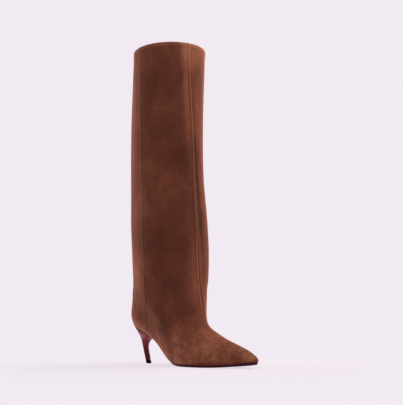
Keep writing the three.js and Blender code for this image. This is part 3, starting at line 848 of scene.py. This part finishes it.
def make_collar_stitches():
    """A row of short stitches along the lower edge of the turned-over collar."""
    s = sizes()
    upper = bpy.data.objects["suede_upper"]
    co = points_of(upper)
    tree = BVHTree.FromPolygons([Vector(p) for p in co], [list(f.vertices) for f in upper.data.polygons])
    rise = COLLAR_RISE / (2 * SHAFT_RADIUS)
    count = round(2 * math.pi * SHAFT_RADIUS / s.stitch_pitch)
    ball, ball_faces = unit_ball(rings=6, columns=8)
    corners, faces = [], []
    for k in range(count):
        turn = 2 * math.pi * k / count
        away = Vector((math.cos(turn), math.sin(turn), 0))
        far = Vector((SHAFT_X, 0, 0)) + away * LENGTH
        far.z = COLLAR + rise * SHAFT_RADIUS * (away.x - 1) - s.collar_fold + s.stitch_drop
        spot, normal, _, _ = tree.ray_cast(far, -away)
        tangent = Vector((0, 0, 1)).cross(normal).normalized()
        up = normal.cross(tangent)
        first = len(corners)
        faces.extend([first + corner for corner in face] for face in ball_faces)
        for x, y, z in ball:
            local = tangent * (x * s.stitch_length) + up * (y * s.thread)
            corners.append(spot + local + normal * (z * s.thread))
    row = bpy.data.objects.new("collar_stitches", bpy.data.meshes.new("collar_stitches"))
    row.data.from_pydata(corners, [], faces)
    bpy.context.scene.collection.objects.link(row)
    select_only(row)
    bpy.ops.object.shade_smooth()
    row.data.materials.append(thread_cord())
    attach(row, "root")
    return row


# The bottom


def make_outsole():
    """The leather outsole, its edge dyed dark."""
    piece = copy_of("outsole", "leather_outsole")
    softened(piece, sizes().edge_softness, 2)
    upright = 1 - np.abs(normals_of(piece)[:, 2])
    write_attribute(piece, "side", smooth_share(upright, 0.05, 0.35))
    piece.data.materials.append(sole_leather())
    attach(piece, "root")
    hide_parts("outsole")
    return piece


def make_insole():
    """The insole board with its leather sock, pressed into the lining all round."""
    piece = copy_of("insole", "leather_insole")
    softened(piece, 1.5 * sizes().edge_softness, 2)
    outward = normals_of(piece) * (1, 1, 0)
    move_points(piece, points_of(piece) + outward * sizes().sock_overhang)
    piece.data.materials.append(leather("sock_leather", colours().sock, grain=0.1, roughness=0.6))
    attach(piece, "root")
    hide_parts("insole")
    return piece


def make_heel():
    """The slim curved heel under its lacquer."""
    piece = copy_of("heel", "lacquered_heel")
    softened(piece, 0.7 * sizes().edge_softness, 2)
    piece.data.materials.append(plum_lacquer())
    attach(piece, "root")
    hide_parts("heel")
    return piece


def make_top_lift():
    """The rubber top lift that the heel stands on."""
    piece = copy_of("top_lift", "rubber_top_lift")
    softened(piece, 0.7 * sizes().edge_softness, 2)
    piece.data.materials.append(lift_rubber())
    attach(piece, "root")
    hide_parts("top_lift")
    return piece


# The studio

# Softboxes around the shaft, as the camera sees it. right, forward and up: metres from the
# shaft's foot. power: the light's property of the room.
SOFTBOXES = [
    {"name": "left_box", "right": -1.3, "forward": 0.7, "up": 0.45, "size": (0.7, 1.5),
     "power": "left_light", "tint": (1, 1, 1)},
    {"name": "right_box", "right": 1.3, "forward": 0.6, "up": 0.5, "size": (0.7, 1.5),
     "power": "right_light", "tint": (1, 0.82, 0.6)},
    {"name": "top_box", "right": 0.6, "forward": 0.35, "up": 1.4, "size": (1.2, 0.9),
     "power": "top_light", "tint": (1, 1, 1)},
    {"name": "front_box", "right": 0.6, "forward": -1.6, "up": 0.9, "size": (1.2, 1.2),
     "power": "front_light", "tint": (1, 1, 1)},
]
LIT_SPOT = Vector((SHAFT_X + 0.02, 0, 0.45 * COLLAR))  # where the softboxes point

FLOOR_RADIUS = 40
FLOOR_PAINT = 0.77  # the painted floor's share of the backdrop's colour
FLOOR_SHADED = 0.22  # how much of the near floor is painted, so that it takes shadows
FLOOR_NEAR, FLOOR_FAR = 0.1, 0.42  # metres from the boot over which the paint fades


def softbox(box, shaft, right, forward):
    light = bpy.data.lights.new(box["name"], "AREA")
    light.shape = "RECTANGLE"
    light.size, light.size_y = box["size"]
    light.energy = getattr(room(), box["power"])
    light.color = box["tint"]
    lamp = bpy.data.objects.new(box["name"], light)
    bpy.context.scene.collection.objects.link(lamp)
    up = Vector((0, 0, box["up"]))
    lamp.location = shaft + box["right"] * right + box["forward"] * forward + up
    lamp.rotation_euler = (LIT_SPOT - lamp.location).to_track_quat("-Z", "Y").to_euler()


def make_floor(shade):
    """The pale floor: bright of itself, and painted near the boot so that it takes shadows."""
    bpy.ops.object.select_all(action="DESELECT")
    bpy.ops.mesh.primitive_circle_add(vertices=96, radius=FLOOR_RADIUS, fill_type="NGON")
    floor = bpy.context.active_object
    floor.name = "studio_floor"
    g = Graph("pale_floor")
    glow = g.node("ShaderNodeEmission", None, {"Color": shade, "Strength": 1.0})["Emission"]
    paint = g.node("ShaderNodeBsdfDiffuse", None, {"Color": [FLOOR_PAINT * v for v in shade]})["BSDF"]
    away = g.node("ShaderNodeVectorMath", {"operation": "LENGTH"}, {0: g.place()})["Value"]
    near = away.stepped(FLOOR_FAR, FLOOR_NEAR) * FLOOR_SHADED
    mixed = g.node("ShaderNodeMixShader", None, {0: near, 1: glow, 2: paint})["Shader"]
    g.node("ShaderNodeOutputMaterial", None, {"Surface": mixed})
    floor.data.materials.append(g.material)


def make_room_light(shade):
    """The pale room: seen at its full brightness, and lighting the boot by the ambient share."""
    world = bpy.data.worlds.new("pale_room")
    bpy.context.scene.world = world
    world.use_nodes = True
    tree = world.node_tree
    tree.nodes.clear()
    seen = tree.nodes.new("ShaderNodeBackground")
    seen.inputs["Color"].default_value = (*shade, 1)
    lit = tree.nodes.new("ShaderNodeBackground")
    lit.inputs["Color"].default_value = (*shade, 1)
    lit.inputs["Strength"].default_value = room().ambient
    rays = tree.nodes.new("ShaderNodeLightPath")
    pick = tree.nodes.new("ShaderNodeMixShader")
    out = tree.nodes.new("ShaderNodeOutputWorld")
    tree.links.new(rays.outputs["Is Camera Ray"], pick.inputs[0])
    tree.links.new(lit.outputs[0], pick.inputs[1])
    tree.links.new(seen.outputs[0], pick.inputs[2])
    tree.links.new(pick.outputs[0], out.inputs["Surface"])


def make_stage():
    """Pale floor and backdrop, softboxes, and the camera at the photograph's place."""
    r = room()
    scene = bpy.context.scene
    scene.view_settings.view_transform = "Standard"
    shade = list(colours().backdrop)
    make_floor(shade)
    make_room_light(shade)

    forward = Vector((-math.sin(r.azimuth), math.cos(r.azimuth), 0))
    right = Vector((math.cos(r.azimuth), math.sin(r.azimuth), 0))
    shaft = Vector((SHAFT_X, SHAFT_Y, 0))
    for box in SOFTBOXES:
        softbox(box, shaft, right, forward)

    camera = bpy.data.cameras.new("camera")
    camera.lens = r.lens
    camera.sensor_width = 36
    camera.clip_start = 0.05
    camera.clip_end = 100
    eye = bpy.data.objects.new("camera", camera)
    scene.collection.objects.link(eye)
    eye.location = shaft - forward * r.distance + right * r.sidestep + Vector((0, 0, r.height))
    aim = forward * math.cos(r.tilt) + Vector((0, 0, math.sin(r.tilt)))
    eye.rotation_euler = aim.to_track_quat("-Z", "Y").to_euler()
    scene.camera = eye


# Operators and panel


class BOOT_OT_upper(bpy.types.Operator):
    """Make the suede upper with its lining"""

    bl_idname = "boot.upper"
    bl_label = "Suede Upper"

    def execute(self, context):
        make_upper()
        return {"FINISHED"}


class BOOT_OT_collar_stitches(bpy.types.Operator):
    """Sew the row of stitches below the collar"""

    bl_idname = "boot.collar_stitches"
    bl_label = "Collar Stitches"

    def execute(self, context):
        make_collar_stitches()
        return {"FINISHED"}


class BOOT_OT_bottom(bpy.types.Operator):
    """Make the outsole and the insole"""

    bl_idname = "boot.bottom"
    bl_label = "Outsole and Insole"

    def execute(self, context):
        make_outsole()
        make_insole()
        return {"FINISHED"}


class BOOT_OT_heel(bpy.types.Operator):
    """Make the lacquered heel and its top lift"""

    bl_idname = "boot.heel"
    bl_label = "Heel and Top Lift"

    def execute(self, context):
        make_heel()
        make_top_lift()
        return {"FINISHED"}


class BOOT_OT_stage(bpy.types.Operator):
    """Set up the pale floor, the softboxes and the camera"""

    bl_idname = "boot.stage"
    bl_label = "Studio"

    def execute(self, context):
        make_stage()
        return {"FINISHED"}


OPERATORS = [
    BOOT_OT_upper, BOOT_OT_collar_stitches, BOOT_OT_bottom, BOOT_OT_heel, BOOT_OT_stage]


class BOOT_PT_sidebar(bpy.types.Panel):
    """Lists the boot's pieces in the order they are made"""

    bl_idname = "BOOT_PT_sidebar"
    bl_label = "Knee-High Boot"
    bl_space_type = "VIEW_3D"
    bl_region_type = "UI"
    bl_category = "Boot"

    def draw(self, context):
        for operator in OPERATORS:
            self.layout.operator(operator.bl_idname)
        for group in (sizes(), colours(), room()):
            box = self.layout.box()
            for name in group.bl_rna.properties.keys():
                if name not in ("rna_type", "name"):
                    box.prop(group, name)


GROUPS = {"boot_sizes": BootSizes, "boot_colours": BootColours, "boot_room": BootRoom}


def register():
    for made in [*GROUPS.values(), *OPERATORS, BOOT_PT_sidebar]:
        bpy.utils.register_class(made)
    for name, group in GROUPS.items():
        setattr(bpy.types.Scene, name, bpy.props.PointerProperty(type=group))


def unregister():
    for name in GROUPS:
        delattr(bpy.types.Scene, name)
    for made in reversed([*GROUPS.values(), *OPERATORS, BOOT_PT_sidebar]):
        bpy.utils.unregister_class(made)


def main():
    register()
    bpy.ops.boot.upper()
    bpy.ops.boot.collar_stitches()
    bpy.ops.boot.bottom()
    bpy.ops.boot.heel()
    bpy.ops.boot.stage()


if __name__ == "__main__":
    main()
